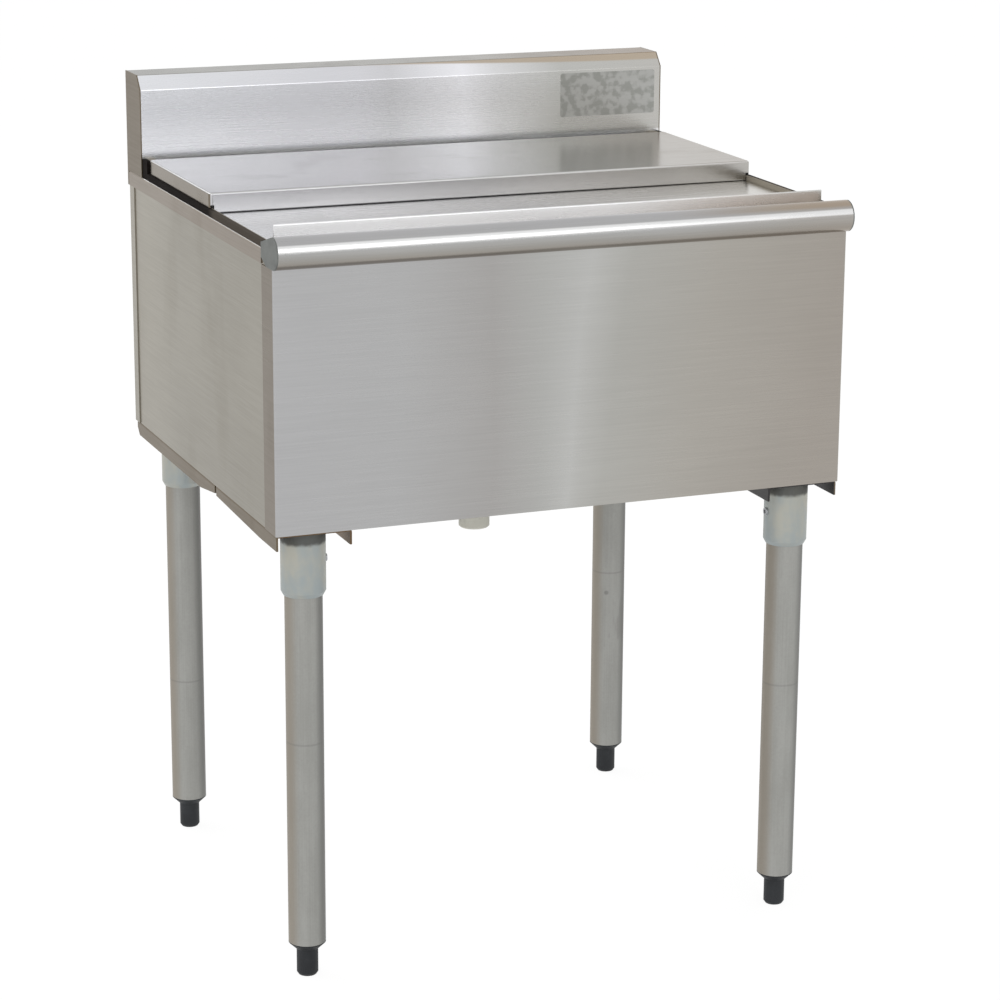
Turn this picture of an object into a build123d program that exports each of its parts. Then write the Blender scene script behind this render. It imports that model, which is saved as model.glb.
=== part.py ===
from build123d import *
from math import cos, pi, sin
import os

os.makedirs("parts", exist_ok=True)

# Insulated underbar ice bin. Millimetres, +Z up, -Y is the bartender's side.
# The origin is on the floor, under the middle of the bounding box.

# Driving dimensions
INCH = 25.4
WIDTH = 24 * INCH
DEPTH = 21 * INCH
WORKING_HEIGHT = 30 * INCH
SPLASH_RISE = 4 * INCH
WALL = 1.5 * INCH

# Sheet metal
SHEET = 1.2
BEND_R = 2.0
INNER_BEND_R = BEND_R - SHEET
HEM_T = 2 * SHEET

# Insulated box
BOX_H = 278.5
FLOOR_WALL = 1.25 * INCH
PAN_FLANGE = 20.0
FRONT_RETURN = 35.0
BACK_RETURN = 18.0
TOP_RETURN = 16.0
SKIRT_H = 15.5
BACK_STEP = 5.4

# Rolled front edge and its end caps
ROLL_R = 16.0
ROLL_TAB = 14.0
CAP_LENGTH = 36.0
CAP_DROP = 10.5
CAP_TOE = (16.0, 7.0)

# Backsplash
SPLASH_DEPTH = 56.4
SPLASH_FACET = (12.4, 14.6)
SPLASH_FOOT = 16.0

# Bin liner and drain
LINER_R = 25.0
COVE_R = 19.0
LINER_FLANGE = 15.0
SPLASH_LEDGE = 28.0
SUMP_R = 42.0
SUMP_DEPTH = 6.0
STRAINER_T = 1.5
STRAINER_CLEAR = 0.5
STRAINER_HOLE_R = 2.5
STRAINER_PITCH = 8.9
PIPE_R = 33.4 / 2
PIPE_BORE_R = 26.6 / 2
PIPE_SHANK_R = 16.5
PIPE_DROP = 85.5
PIPE_CHAMFER = 1.5
PIPE_COLLAR = (24.0, 2.0)
GASKET = (23.5, 1.0)
LOCKNUT = (48.0, 8.0)

# Black cover strips along the sides
STRIP_H = 7.0
STRIP_W = 6.0
STRIP_EDGE_R = 0.8
STOP = (13.0, 18.5, 20.5)
STOP_R = 3.0

# Sliding front cover and lift-off rear cover
COVER_CLEAR = 0.3
SIDE_CLEAR = 0.6
COVER_END_GAP = 1.0
LIP_STOP_GAP = 0.9
LIP_SETBACK = 33.7
LIP_H = 21.1
LIP_INSET = 5.0
LIP_EDGE_R = 1.1
REAR_COVER_DEPTH = 223.0
REAR_COVER_H = 15.2
REAR_COVER_INSET = 2.4
REAR_COVER_CORNER_R = 4.0
REAR_FLANGE_H = 12.5
REAR_STOP_GAP = 1.5

# Leg gussets, sockets, tubes and feet
LEG_INSET = 40.0
REAR_LEG_INSET = 45.0
FRONT_LEG_SETBACK = 39.0
REAR_LEG_SETBACK = 27.5
GUSSET_T = 2.0
GUSSET_H = 15.3
GUSSET_BEND_R = 2.5
GUSSET_FRONT_SETBACK = 3.0
GUSSET_REAR_SETBACK = 4.8
GUSSET_GAP = 5.3
FRONT_GUSSET_L = 201.7
FRONT_TAPER = (147.0, 5.2)
REAR_TAPER = (50.7, 6.5)
HEEL = 8.0
SOCKET_R = 22.6
SOCKET_BORE_R = 19.3
SOCKET_NECK = (20.2, 4.5)
SOCKET_H = 69.5
SOCKET_ROOF = 3.0
WELD_LEG = 2.5
SCREW_R = 4.0
SCREW_CLEAR = 0.05
SCREW_H = 35.0
SCREW_PROUD = 1.5
HEX_KEY = (4.0, 3.5)
TUBE_R = 1.5 * INCH / 2
TUBE_WALL = 1.6
FOOT_R = 11.0
FOOT_H = 28.5
FOOT_TIP = (9.2, 2.6)
FOOT_GAP = 0.3
FOOT_TRAVEL = 25.0
INSERT_H = 37.5
INSERT_SHOULDER = 7.7
INSERT_FACE_R = 12.2
INSERT_RIM = 1.0
INSERT_LEAD = 2.0
INSERT_CLEAR = 0.05
STUD_R = 6.0
STUD_CLEAR = 0.05
STUD_SEAT_Z = 8.0
STUD_ENGAGED = 27.5
STUD_LEAD = 1.0

# Places worked out from the values above
HALF_W = WIDTH / 2
SHELL_X = HALF_W - SHEET
INNER_X = SHELL_X - SHEET
FRONT = ROLL_R - DEPTH / 2
BACK = DEPTH / 2 - BACK_STEP
REAR_EDGE = DEPTH / 2
RIM_Z = WORKING_HEIGHT - STRIP_H
RIM_UNDER_Z = RIM_Z - SHEET
SKIRT_Z = RIM_Z - SKIRT_H
ROLL_BOTTOM_Z = RIM_Z - ROLL_R
BODY_BOTTOM = RIM_Z - BOX_H
TOP_Z = WORKING_HEIGHT + SPLASH_RISE
SPLASH_FRONT = REAR_EDGE - SPLASH_DEPTH
CAP_REAR = FRONT + CAP_LENGTH
TUB_X = HALF_W - WALL
TUB_FRONT = FRONT + WALL
TUB_BACK = SPLASH_FRONT - SPLASH_LEDGE
TUB_FLOOR = BODY_BOTTOM + FLOOR_WALL
SUMP_Z = TUB_FLOOR - SUMP_DEPTH
DRAIN_Y = (FRONT + BACK) / 2
STRIP_X = SHELL_X - STRIP_W
STOP_FRONT = SPLASH_FRONT - STOP[1]
LIP_Y = FRONT + LIP_SETBACK
REAR_COVER_Y = (STOP_FRONT - REAR_STOP_GAP - REAR_COVER_DEPTH, STOP_FRONT - REAR_STOP_GAP)
COVER_TRAVEL = REAR_COVER_Y[0] - LIP_STOP_GAP - HEM_T - LIP_Y
LEG_X = HALF_W - LEG_INSET
GUSSET_ROOF_Z = BODY_BOTTOM - GUSSET_T
REAR_LEG_X = HALF_W - REAR_LEG_INSET
GUSSET_HALF = SHELL_X - LEG_X
GUSSET_LOW_Z = BODY_BOTTOM - GUSSET_H
FRONT_GUSSET_END = FRONT + GUSSET_FRONT_SETBACK + FRONT_GUSSET_L
SOCKET_ROOF_Z = GUSSET_ROOF_Z - SOCKET_ROOF
SOCKET_MOUTH_Z = GUSSET_ROOF_Z - SOCKET_H
SCREW_Z = SOCKET_MOUTH_Z + SCREW_H
INSERT_Z = FOOT_H + FOOT_GAP
TUBE_END_Z = INSERT_Z + INSERT_SHOULDER
INSERT_TOP_Z = INSERT_Z + INSERT_H
STUD_TOP_Z = INSERT_Z + FOOT_TRAVEL + STUD_ENGAGED


def block(x, y, z):
    """Block between two corners, each of x, y and z a (low, high) pair."""
    size = Box(x[1] - x[0], y[1] - y[0], z[1] - z[0], align=Align.MIN)
    return Pos(x[0], y[0], z[0]) * size


def cylinder(radius, z_low, z_high, x=0.0, y=0.0):
    """Upright cylinder between two heights."""
    size = Cylinder(radius, z_high - z_low, align=(Align.CENTER, Align.CENTER, Align.MIN))
    return Pos(x, y, z_low) * size


def bent_sheet(path, plane, low, high, side=Side.RIGHT):
    """Sheet on one side of an open path, drawn on a plane and extruded along its normal."""
    outline = offset(path, amount=SHEET, side=side, closed=True)
    return extrude(plane.offset(low) * make_face(outline.edges()), amount=high - low)


def turned(points, x=0.0, y=0.0):
    """Solid of revolution about an upright axis, from (radius, height) points."""
    outline = make_face(Polyline(*points, close=True).edges())
    return Pos(x, y, 0) * revolve(Plane.XZ * outline, axis=Axis.Z)


def rounded_column(x_half, y, z, radius):
    """Upright block with rounded vertical edges."""
    return fillet(block((-x_half, x_half), y, z).edges().filter_by(Axis.Z), radius)


def mirrored(solid, side):
    """The solid made for the right-hand side, or its mirror image for the left."""
    return solid if side > 0 else mirror(solid, about=Plane.YZ)


def front_panel():
    """Front skin that turns round both corners, with a return under the rolled edge."""
    path = FilletPolyline((HALF_W, FRONT + FRONT_RETURN), (HALF_W, FRONT), (-HALF_W, FRONT),
                          (-HALF_W, FRONT + FRONT_RETURN), radius=BEND_R)
    skin = bent_sheet(path, Plane.XY, BODY_BOTTOM, ROLL_BOTTOM_Z)
    lip = block((-INNER_X, INNER_X), (FRONT + SHEET / 2, FRONT + TOP_RETURN),
                (ROLL_BOTTOM_Z - SHEET, ROLL_BOTTOM_Z))
    return skin + lip


def side_panel(side):
    """Flat end skin that stops short of the bends round it."""
    inset = SHEET + INNER_BEND_R
    skin = block((INNER_X, SHELL_X), (FRONT + inset, BACK - inset), (BODY_BOTTOM, RIM_Z - inset))
    skin -= block((INNER_X, SHELL_X), (FRONT, FRONT + TOP_RETURN), (ROLL_BOTTOM_Z, RIM_Z))
    return mirrored(skin, side)


def back_panel():
    """Back skin that turns round both corners under the rim's skirts."""
    path = FilletPolyline((-HALF_W, BACK - BACK_RETURN), (-HALF_W, BACK), (HALF_W, BACK),
                          (HALF_W, BACK - BACK_RETURN), radius=BEND_R)
    skin = bent_sheet(path, Plane.XY, BODY_BOTTOM, SKIRT_Z)
    upper = block((-INNER_X, INNER_X), (BACK - SHEET, BACK), (SKIRT_Z - SHEET, RIM_UNDER_Z))
    return skin + upper


def bottom_pan():
    """Tray that closes the box from below, with the hole for the drain pipe."""
    y = (FRONT + SHEET, BACK - SHEET)
    tray = block((-INNER_X, INNER_X), y, (BODY_BOTTOM, BODY_BOTTOM + PAN_FLANGE))
    tray -= block((SHEET - INNER_X, INNER_X - SHEET), (y[0] + SHEET, y[1] - SHEET),
                  (BODY_BOTTOM + SHEET, BODY_BOTTOM + PAN_FLANGE))
    return tray - cylinder(PIPE_SHANK_R, BODY_BOTTOM, BODY_BOTTOM + SHEET, y=DRAIN_Y)


def tub_opening(z, grow=0.0):
    """The inside of the bin in plan, grown outwards by a wall."""
    return rounded_column(TUB_X + grow, (TUB_FRONT - grow, TUB_BACK + grow), z, LINER_R + grow)


def top_rim():
    """Flat rim round the bin opening, with skirts down both sides."""
    path = FilletPolyline((-HALF_W, SKIRT_Z), (-HALF_W, RIM_Z), (HALF_W, RIM_Z), (HALF_W, SKIRT_Z),
                          radius=BEND_R)
    rim = bent_sheet(path, Plane.XZ, -BACK, -CAP_REAR)
    rim += block((-SHELL_X, SHELL_X), (FRONT + TOP_RETURN, CAP_REAR), (RIM_UNDER_Z, RIM_Z))
    return rim - tub_opening((RIM_UNDER_Z, RIM_Z))


def rolled_front_edge():
    """Three quarters of a tube along the front, from a tab on the front skin round to the rim."""
    crown = (FRONT - ROLL_R * cos(pi / 4), RIM_Z + ROLL_R * sin(pi / 4))
    tab = Line((FRONT + ROLL_TAB, ROLL_BOTTOM_Z), (FRONT, ROLL_BOTTOM_Z))
    nose = ThreePointArc((FRONT, ROLL_BOTTOM_Z), crown, (FRONT + ROLL_R, RIM_Z))
    return bent_sheet(tab + nose, Plane.YZ, -SHELL_X, SHELL_X, Side.LEFT)


def end_plate(outline, side):
    """Flat plate that closes an end, from an outline in the YZ plane."""
    plate = extrude(Plane.YZ.offset(SHELL_X) * make_face(outline), amount=SHEET)
    return mirrored(plate, side)


def roll_end_cap(side):
    """Cap that closes the rolled edge and runs back to the cover strip."""
    nose = CenterArc((FRONT, RIM_Z), ROLL_R, 270, -180)
    rear = Polyline((FRONT, RIM_Z + ROLL_R), (CAP_REAR, RIM_Z + ROLL_R - CAP_DROP),
                    (CAP_REAR, ROLL_BOTTOM_Z + CAP_TOE[1]),
                    (CAP_REAR - CAP_TOE[0], ROLL_BOTTOM_Z), (FRONT, ROLL_BOTTOM_Z))
    return end_plate([nose.edge(), *rear.edges()], side)


def backsplash():
    """Hollow splash with an angled top edge, standing on the rim and lapping the back skin."""
    facet_y, facet_z = SPLASH_FACET
    path = FilletPolyline((SPLASH_FRONT + SPLASH_FOOT, RIM_Z), (SPLASH_FRONT, RIM_Z),
                          (SPLASH_FRONT, TOP_Z - facet_z), (SPLASH_FRONT + facet_y, TOP_Z),
                          (REAR_EDGE, TOP_Z), (REAR_EDGE, SKIRT_Z), (BACK, SKIRT_Z), radius=BEND_R)
    return bent_sheet(path, Plane.YZ, -SHELL_X, SHELL_X)


def splash_end_cap(side):
    """Plate that closes one end of the backsplash down to the rim's skirt."""
    facet_y, facet_z = SPLASH_FACET
    rim = Polyline((SPLASH_FRONT, RIM_Z), (SPLASH_FRONT, TOP_Z - facet_z),
                   (SPLASH_FRONT + facet_y, TOP_Z), (REAR_EDGE, TOP_Z), (REAR_EDGE, SKIRT_Z),
                   (BACK, SKIRT_Z), (BACK, RIM_Z), close=True)
    return end_plate(rim.edges(), side)


def coved_tub(grow):
    """The bin's inside, or with grow its outside, with coved floor corners and the sump."""
    tub = tub_opening((TUB_FLOOR - grow, RIM_UNDER_Z), grow)
    tub = fillet(tub.faces().sort_by(Axis.Z)[0].edges(), COVE_R + grow)
    return tub + cylinder(SUMP_R + grow, SUMP_Z - grow, TUB_FLOOR + COVE_R, y=DRAIN_Y)


def liner_envelope():
    """Outside of the liner and its flange, which the foam is moulded against."""
    return coved_tub(SHEET) + tub_opening((RIM_UNDER_Z - SHEET, RIM_UNDER_Z), LINER_FLANGE)


def bin_liner():
    """One-piece coved tub with a flange under the rim and a sump for the drain."""
    liner = liner_envelope() - coved_tub(0.0)
    return liner - cylinder(PIPE_SHANK_R, SUMP_Z - SHEET, SUMP_Z, y=DRAIN_Y)


def foam_jacket():
    """Foam that fills the walls and floor between the skins and the liner."""
    front_y = FRONT + SHEET
    foam = block((-INNER_X, INNER_X), (front_y, BACK - SHEET), (BODY_BOTTOM + SHEET, RIM_UNDER_Z))
    foam -= liner_envelope()
    foam -= bottom_pan()
    foam -= cylinder(PIPE_SHANK_R, BODY_BOTTOM, TUB_FLOOR, y=DRAIN_Y)
    # The front skin's return and the roll's tab end in the foam's top front corner.
    return foam - block((-INNER_X, INNER_X), (front_y, FRONT + TOP_RETURN),
                        (ROLL_BOTTOM_Z - SHEET, RIM_UNDER_Z))


def drain_pipe():
    """Outlet pipe with a collar inside the sump and a threaded shank for the locknut."""
    collar_r, collar_t = PIPE_COLLAR
    shoulder_z = BODY_BOTTOM - LOCKNUT[1]
    seat_z = SUMP_Z + GASKET[1]
    end_z = BODY_BOTTOM - PIPE_DROP
    profile = [(PIPE_BORE_R, end_z), (PIPE_R - PIPE_CHAMFER, end_z),
               (PIPE_R, end_z + PIPE_CHAMFER), (PIPE_R, shoulder_z), (PIPE_SHANK_R, shoulder_z),
               (PIPE_SHANK_R, seat_z), (collar_r, seat_z), (collar_r, seat_z + collar_t),
               (PIPE_BORE_R, seat_z + collar_t)]
    return turned(profile, y=DRAIN_Y)


def drain_gasket():
    """Rubber ring between the pipe's collar and the sump."""
    radius, thickness = GASKET
    ring = cylinder(radius, SUMP_Z, SUMP_Z + thickness, y=DRAIN_Y)
    return ring - cylinder(PIPE_SHANK_R, SUMP_Z, SUMP_Z + thickness, y=DRAIN_Y)


def drain_locknut():
    """Hexagonal nut that draws the pipe up against the underside."""
    across, height = LOCKNUT
    low = BODY_BOTTOM - height
    hexagon = RegularPolygon(across / 2, 6, major_radius=False)
    nut = Pos(0, DRAIN_Y, low) * extrude(hexagon, amount=height)
    return nut - cylinder(PIPE_SHANK_R, low, BODY_BOTTOM, y=DRAIN_Y)


def drain_strainer():
    """Perforated plate that lies on the pipe's collar."""
    low = SUMP_Z + GASKET[1] + PIPE_COLLAR[1]
    high = low + STRAINER_T
    plate = cylinder(SUMP_R - STRAINER_CLEAR, low, high, y=DRAIN_Y)
    rings = int((SUMP_R - STRAINER_CLEAR - STRAINER_HOLE_R) / STRAINER_PITCH)
    holes = Sketch() + Circle(STRAINER_HOLE_R)
    for ring in range(1, rings + 1):
        holes += PolarLocations(ring * STRAINER_PITCH, 6 * ring) * Circle(STRAINER_HOLE_R)
    return plate - Pos(0, DRAIN_Y, low) * extrude(holes, amount=STRAINER_T)


def cover_strip(side):
    """Black strip that the rear cover rests on, with the stop behind the covers."""
    strip = block((STRIP_X, SHELL_X), (CAP_REAR, SPLASH_FRONT), (RIM_Z, WORKING_HEIGHT))
    strip = fillet(strip.faces().sort_by(Axis.Z)[-1].edges().filter_by(Axis.Y), STRIP_EDGE_R)
    width, depth, height = STOP
    stop = block((SHELL_X - width, SHELL_X), (SPLASH_FRONT - depth, SPLASH_FRONT),
                 (RIM_Z, RIM_Z + height))
    front_top = stop.faces().sort_by(Axis.Y)[0].edges().sort_by(Axis.Z)[-1]
    return mirrored(strip + fillet(front_top, STOP_R), side)


def front_cover():
    """Flat sliding cover between the strips, with a hemmed lip to push it by."""
    low = RIM_Z + COVER_CLEAR
    half = STRIP_X - SIDE_CLEAR
    rear = STOP_FRONT - COVER_END_GAP - COVER_TRAVEL
    plate = block((-half, half), (LIP_Y, rear), (low, low + SHEET))
    lip = block((LIP_INSET - half, half - LIP_INSET), (LIP_Y, LIP_Y + HEM_T), (low, low + LIP_H))
    lip = fillet(lip.faces().sort_by(Axis.Z)[-1].edges().filter_by(Axis.X), LIP_EDGE_R)
    cover = plate + lip
    front_edge = cover.faces().sort_by(Axis.Y)[0].edges().filter_by(Axis.X).sort_by(Axis.Z)[0]
    return fillet(front_edge, SHEET / 2)


def rear_cover():
    """Shallow upside-down tray that rests on both strips above the front cover."""
    half = SHELL_X - REAR_COVER_INSET
    y = REAR_COVER_Y
    low = WORKING_HEIGHT + COVER_CLEAR
    z = (low, low + REAR_COVER_H)
    outer = rounded_column(half, y, z, REAR_COVER_CORNER_R)
    outer = fillet(outer.faces().sort_by(Axis.Z)[-1].edges(), BEND_R)
    inner = rounded_column(half - SHEET, (y[0] + SHEET, y[1] - SHEET), (z[0], z[1] - SHEET),
                           REAR_COVER_CORNER_R - SHEET)
    # The front and rear flanges stop short of the front cover that passes under them.
    passage = block((SHEET - half, half - SHEET), y, (z[0], z[1] - REAR_FLANGE_H))
    return outer - inner - passage


def gusset(profile, side):
    """Channel under the box that carries one leg, from its outline seen from the side."""
    outline = make_face(Polyline(*profile, close=True).edges())
    channel = extrude(Plane.YZ.offset(LEG_X - GUSSET_HALF) * outline, amount=2 * GUSSET_HALF)
    channel = fillet(channel.faces().sort_by(Axis.Z)[-1].edges().filter_by(Axis.Y), GUSSET_BEND_R)
    y = (profile[0][0], profile[-1][0])
    inside = block((LEG_X - GUSSET_HALF + GUSSET_T, LEG_X + GUSSET_HALF - GUSSET_T), y,
                   (GUSSET_LOW_Z, GUSSET_ROOF_Z))
    return mirrored(channel - inside, side)


def front_gusset(side):
    """Front channel, whose sides taper towards the middle of the box."""
    taper, lift = FRONT_TAPER
    start = FRONT + GUSSET_FRONT_SETBACK
    end = FRONT_GUSSET_END
    return gusset([(start, BODY_BOTTOM), (start, GUSSET_LOW_Z), (end - taper, GUSSET_LOW_Z),
                   (end, GUSSET_LOW_Z + lift), (end, BODY_BOTTOM)], side)


def rear_gusset(side):
    """Rear channel, with a cut-off heel at the back and a short taper in front."""
    taper, lift = REAR_TAPER
    start = FRONT_GUSSET_END + GUSSET_GAP
    end = BACK - GUSSET_REAR_SETBACK
    return gusset([(start, BODY_BOTTOM), (start, GUSSET_LOW_Z + lift), (start + taper, GUSSET_LOW_Z),
                   (end - HEEL, GUSSET_LOW_Z), (end, GUSSET_LOW_Z + HEEL), (end, BODY_BOTTOM)], side)


def leg_socket(x, y):
    """Cup welded to the gusset's roof, tapered at its mouth, with a hole for the set screw."""
    neck_r, neck_h = SOCKET_NECK
    profile = [(0, SOCKET_ROOF_Z), (0, GUSSET_ROOF_Z), (SOCKET_R + WELD_LEG, GUSSET_ROOF_Z),
               (SOCKET_R, GUSSET_ROOF_Z - WELD_LEG), (SOCKET_R, SOCKET_MOUTH_Z + neck_h),
               (neck_r, SOCKET_MOUTH_Z), (SOCKET_BORE_R, SOCKET_MOUTH_Z),
               (SOCKET_BORE_R, SOCKET_ROOF_Z)]
    hole = Cylinder(SCREW_R + SCREW_CLEAR, SOCKET_R, align=(Align.CENTER, Align.CENTER, Align.MIN))
    return turned(profile, x, y) - Pos(x, y, SCREW_Z) * Rot(0, -90 if x > 0 else 90, 0) * hole


def set_screw(x, y):
    """Headless screw that holds the tube in its socket, on the side facing the other leg."""
    key, key_depth = HEX_KEY
    length = SOCKET_R + SCREW_PROUD - TUBE_R
    screw = Cylinder(SCREW_R, length, align=(Align.CENTER, Align.CENTER, Align.MIN))
    hexagon = RegularPolygon(key / 2, 6, major_radius=False)
    screw -= Pos(0, 0, length - key_depth) * extrude(hexagon, amount=key_depth)
    return Pos(x, y, SCREW_Z) * Rot(0, -90 if x > 0 else 90, 0) * Pos(0, 0, TUBE_R) * screw


def leg_tube(x, y):
    """Round leg from the socket's roof down to the foot insert."""
    tube = cylinder(TUBE_R, TUBE_END_Z, SOCKET_ROOF_Z, x, y)
    return tube - cylinder(TUBE_R - TUBE_WALL, TUBE_END_Z, SOCKET_ROOF_Z, x, y)


def foot_insert(x, y):
    """Plug in the end of the tube, with a conical shoulder down to the foot."""
    plug_r = TUBE_R - TUBE_WALL - INSERT_CLEAR
    bore_r = STUD_R + STUD_CLEAR
    shoulder_z = TUBE_END_Z - INSERT_RIM
    return turned([(bore_r, INSERT_Z), (INSERT_FACE_R, INSERT_Z), (TUBE_R, shoulder_z),
                   (TUBE_R, TUBE_END_Z), (plug_r, TUBE_END_Z), (plug_r, INSERT_TOP_Z - INSERT_LEAD),
                   (plug_r - INSERT_LEAD, INSERT_TOP_Z), (bore_r, INSERT_TOP_Z)], x, y)


def foot(x, y):
    """Bullet foot with a tapered tip, moulded round the stud."""
    tip_r, tip_h = FOOT_TIP
    return turned([(0, 0), (tip_r, 0), (FOOT_R, tip_h), (FOOT_R, FOOT_H), (STUD_R, FOOT_H),
                   (STUD_R, STUD_SEAT_Z), (0, STUD_SEAT_Z)], x, y)


def foot_stud(x, y):
    """Levelling stud that screws up into the insert."""
    return turned([(0, STUD_SEAT_Z), (STUD_R, STUD_SEAT_Z), (STUD_R, STUD_TOP_Z - STUD_LEAD),
                   (STUD_R - STUD_LEAD, STUD_TOP_Z), (0, STUD_TOP_Z)], x, y)


SIDES = {"left": -1, "right": 1}
LEG_ROWS = {"front": (LEG_X, FRONT + FRONT_LEG_SETBACK),
            "rear": (REAR_LEG_X, BACK - REAR_LEG_SETBACK)}

parts = {
    "front_panel": front_panel(),
    "back_panel": back_panel(),
    "bottom_pan": bottom_pan(),
    "top_rim": top_rim(),
    "rolled_front_edge": rolled_front_edge(),
    "backsplash": backsplash(),
    "bin_liner": bin_liner(),
    "foam_jacket": foam_jacket(),
    "drain_pipe": drain_pipe(),
    "drain_gasket": drain_gasket(),
    "drain_locknut": drain_locknut(),
    "drain_strainer": drain_strainer(),
    "front_cover": front_cover(),
    "rear_cover": rear_cover(),
}

for name, side in SIDES.items():
    parts[f"{name}_side_panel"] = side_panel(side)
    parts[f"{name}_roll_end_cap"] = roll_end_cap(side)
    parts[f"{name}_splash_end_cap"] = splash_end_cap(side)
    parts[f"{name}_cover_strip"] = cover_strip(side)
    parts[f"front_{name}_gusset"] = front_gusset(side)
    parts[f"rear_{name}_gusset"] = rear_gusset(side)

screws = []
for row, (inset_x, y) in LEG_ROWS.items():
    for name, side in SIDES.items():
        x = side * inset_x
        parts[f"{row}_{name}_leg_socket"] = leg_socket(x, y)
        parts[f"{row}_{name}_leg_tube"] = leg_tube(x, y)
        parts[f"{row}_{name}_foot_insert"] = foot_insert(x, y)
        parts[f"{row}_{name}_foot"] = foot(x, y)
        parts[f"{row}_{name}_foot_stud"] = foot_stud(x, y)
        screws.append(set_screw(x, y))
parts["socket_set_screws"] = Compound(children=screws)

for name, solid in parts.items():
    export_step(solid, f"parts/{name}.step")
    print(f"{name:28s} {solid.volume / 1000:10.2f} cm3")
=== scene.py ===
# %% [markdown]
# # Insulated underbar ice bin
# The object is a steel box on four tube legs, with foam in its walls, a splash at the back, a
# rolled front edge and two covers. The exact solids come in as a fixed frame. This lesson dresses
# them: it gives every sheet, tube and moulding its finish, and it makes the few pieces whose shape
# follows a rule, such as the rolled edge, the welds and the threads of the levelling feet.

# %% Load the frame
import math
import bpy
from mathutils import Matrix, Vector


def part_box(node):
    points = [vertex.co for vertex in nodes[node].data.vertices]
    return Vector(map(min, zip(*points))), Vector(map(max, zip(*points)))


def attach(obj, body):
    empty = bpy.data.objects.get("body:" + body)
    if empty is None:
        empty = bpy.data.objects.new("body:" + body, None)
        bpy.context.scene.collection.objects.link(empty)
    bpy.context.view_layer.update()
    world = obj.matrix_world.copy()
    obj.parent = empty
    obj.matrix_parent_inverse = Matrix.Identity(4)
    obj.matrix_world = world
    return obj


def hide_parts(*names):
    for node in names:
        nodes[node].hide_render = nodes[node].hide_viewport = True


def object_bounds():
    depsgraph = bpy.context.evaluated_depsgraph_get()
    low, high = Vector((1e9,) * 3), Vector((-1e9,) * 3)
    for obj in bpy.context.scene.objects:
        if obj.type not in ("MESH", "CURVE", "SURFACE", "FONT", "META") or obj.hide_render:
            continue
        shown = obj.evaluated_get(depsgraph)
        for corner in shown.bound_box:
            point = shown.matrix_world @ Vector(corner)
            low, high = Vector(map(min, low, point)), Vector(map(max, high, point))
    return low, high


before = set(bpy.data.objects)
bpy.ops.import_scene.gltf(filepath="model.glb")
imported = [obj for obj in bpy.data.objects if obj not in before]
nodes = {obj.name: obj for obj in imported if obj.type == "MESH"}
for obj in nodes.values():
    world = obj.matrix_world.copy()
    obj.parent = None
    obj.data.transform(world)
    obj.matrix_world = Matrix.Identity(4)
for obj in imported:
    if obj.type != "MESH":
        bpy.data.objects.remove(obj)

solid_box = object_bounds()
scene = bpy.context.scene
SIDES = ("left", "right")
ROWS = ("front", "rear")
CORNERS = [f"{row}_{side}" for row in ROWS for side in SIDES]
MM = 0.001
SHEET = 1.2 * MM
print("nodes", len(nodes), "box", [round(v, 4) for corner in solid_box for v in corner])

# %% [markdown]
# ## The camera
# The picture was taken from the left of the bin, a little above it and from far away, so a long
# lens stands over three metres off. Three turns place it: to the right, down, and a slight lean.
# The image is square, so a focal length in pixels becomes millimetres on a 36 mm sensor.

# %% Camera
CAMERA_PLACE = Vector((-1.1928, -3.067, 1.3204))
TURN_RIGHT, LOOK_DOWN, LEAN = 21.704, 15.282, 0.339
FOCAL_PIXELS, IMAGE_PIXELS, SENSOR = 3168.3, 1000, 36.0

camera = bpy.data.objects.new("camera", bpy.data.cameras.new("camera"))
scene.collection.objects.link(camera)
camera.data.sensor_width = SENSOR
camera.data.lens = SENSOR * FOCAL_PIXELS / IMAGE_PIXELS
camera.matrix_world = (Matrix.Translation(CAMERA_PLACE)
                       @ Matrix.Rotation(math.radians(-TURN_RIGHT), 4, "Z")
                       @ Matrix.Rotation(math.radians(90 - LOOK_DOWN), 4, "X")
                       @ Matrix.Rotation(math.radians(LEAN), 4, "Z"))
scene.camera = camera
scene.view_settings.view_transform = "Standard"
print("lens", round(camera.data.lens, 1), "mm")

# %% [markdown]
# ## Nodes as sums
# A finish is a graph of nodes, and long graphs are hard to read as boxes and wires. Here a Value
# stands for one output, and Python's own signs add the Math nodes, so a mask can be written as
# 1 - streaks * 0.5. Everything that isn't a sum comes from one method, node(), which takes a node's
# type, its settings and its inputs. The same two classes write geometry trees further down, where
# math() also gives sines, cosines and limits.

# %% Values
class Value:
    """One output of a node, on which sums add Math nodes."""

    def __init__(self, graph, socket):
        self.graph, self.socket = graph, socket

    def math(self, operation, *others):
        return self.graph.math(operation, self, *others)

    def __add__(self, other):
        return self.math("ADD", other)

    def __sub__(self, other):
        return self.math("SUBTRACT", other)

    def __rsub__(self, other):
        return self.graph.math("SUBTRACT", other, self)

    def __mul__(self, other):
        return self.math("MULTIPLY", other)

    def __truediv__(self, other):
        return self.math("DIVIDE", other)

    def __gt__(self, limit):
        return self.math("GREATER_THAN", limit)

    __radd__ = __add__


print("values ready")

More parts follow.
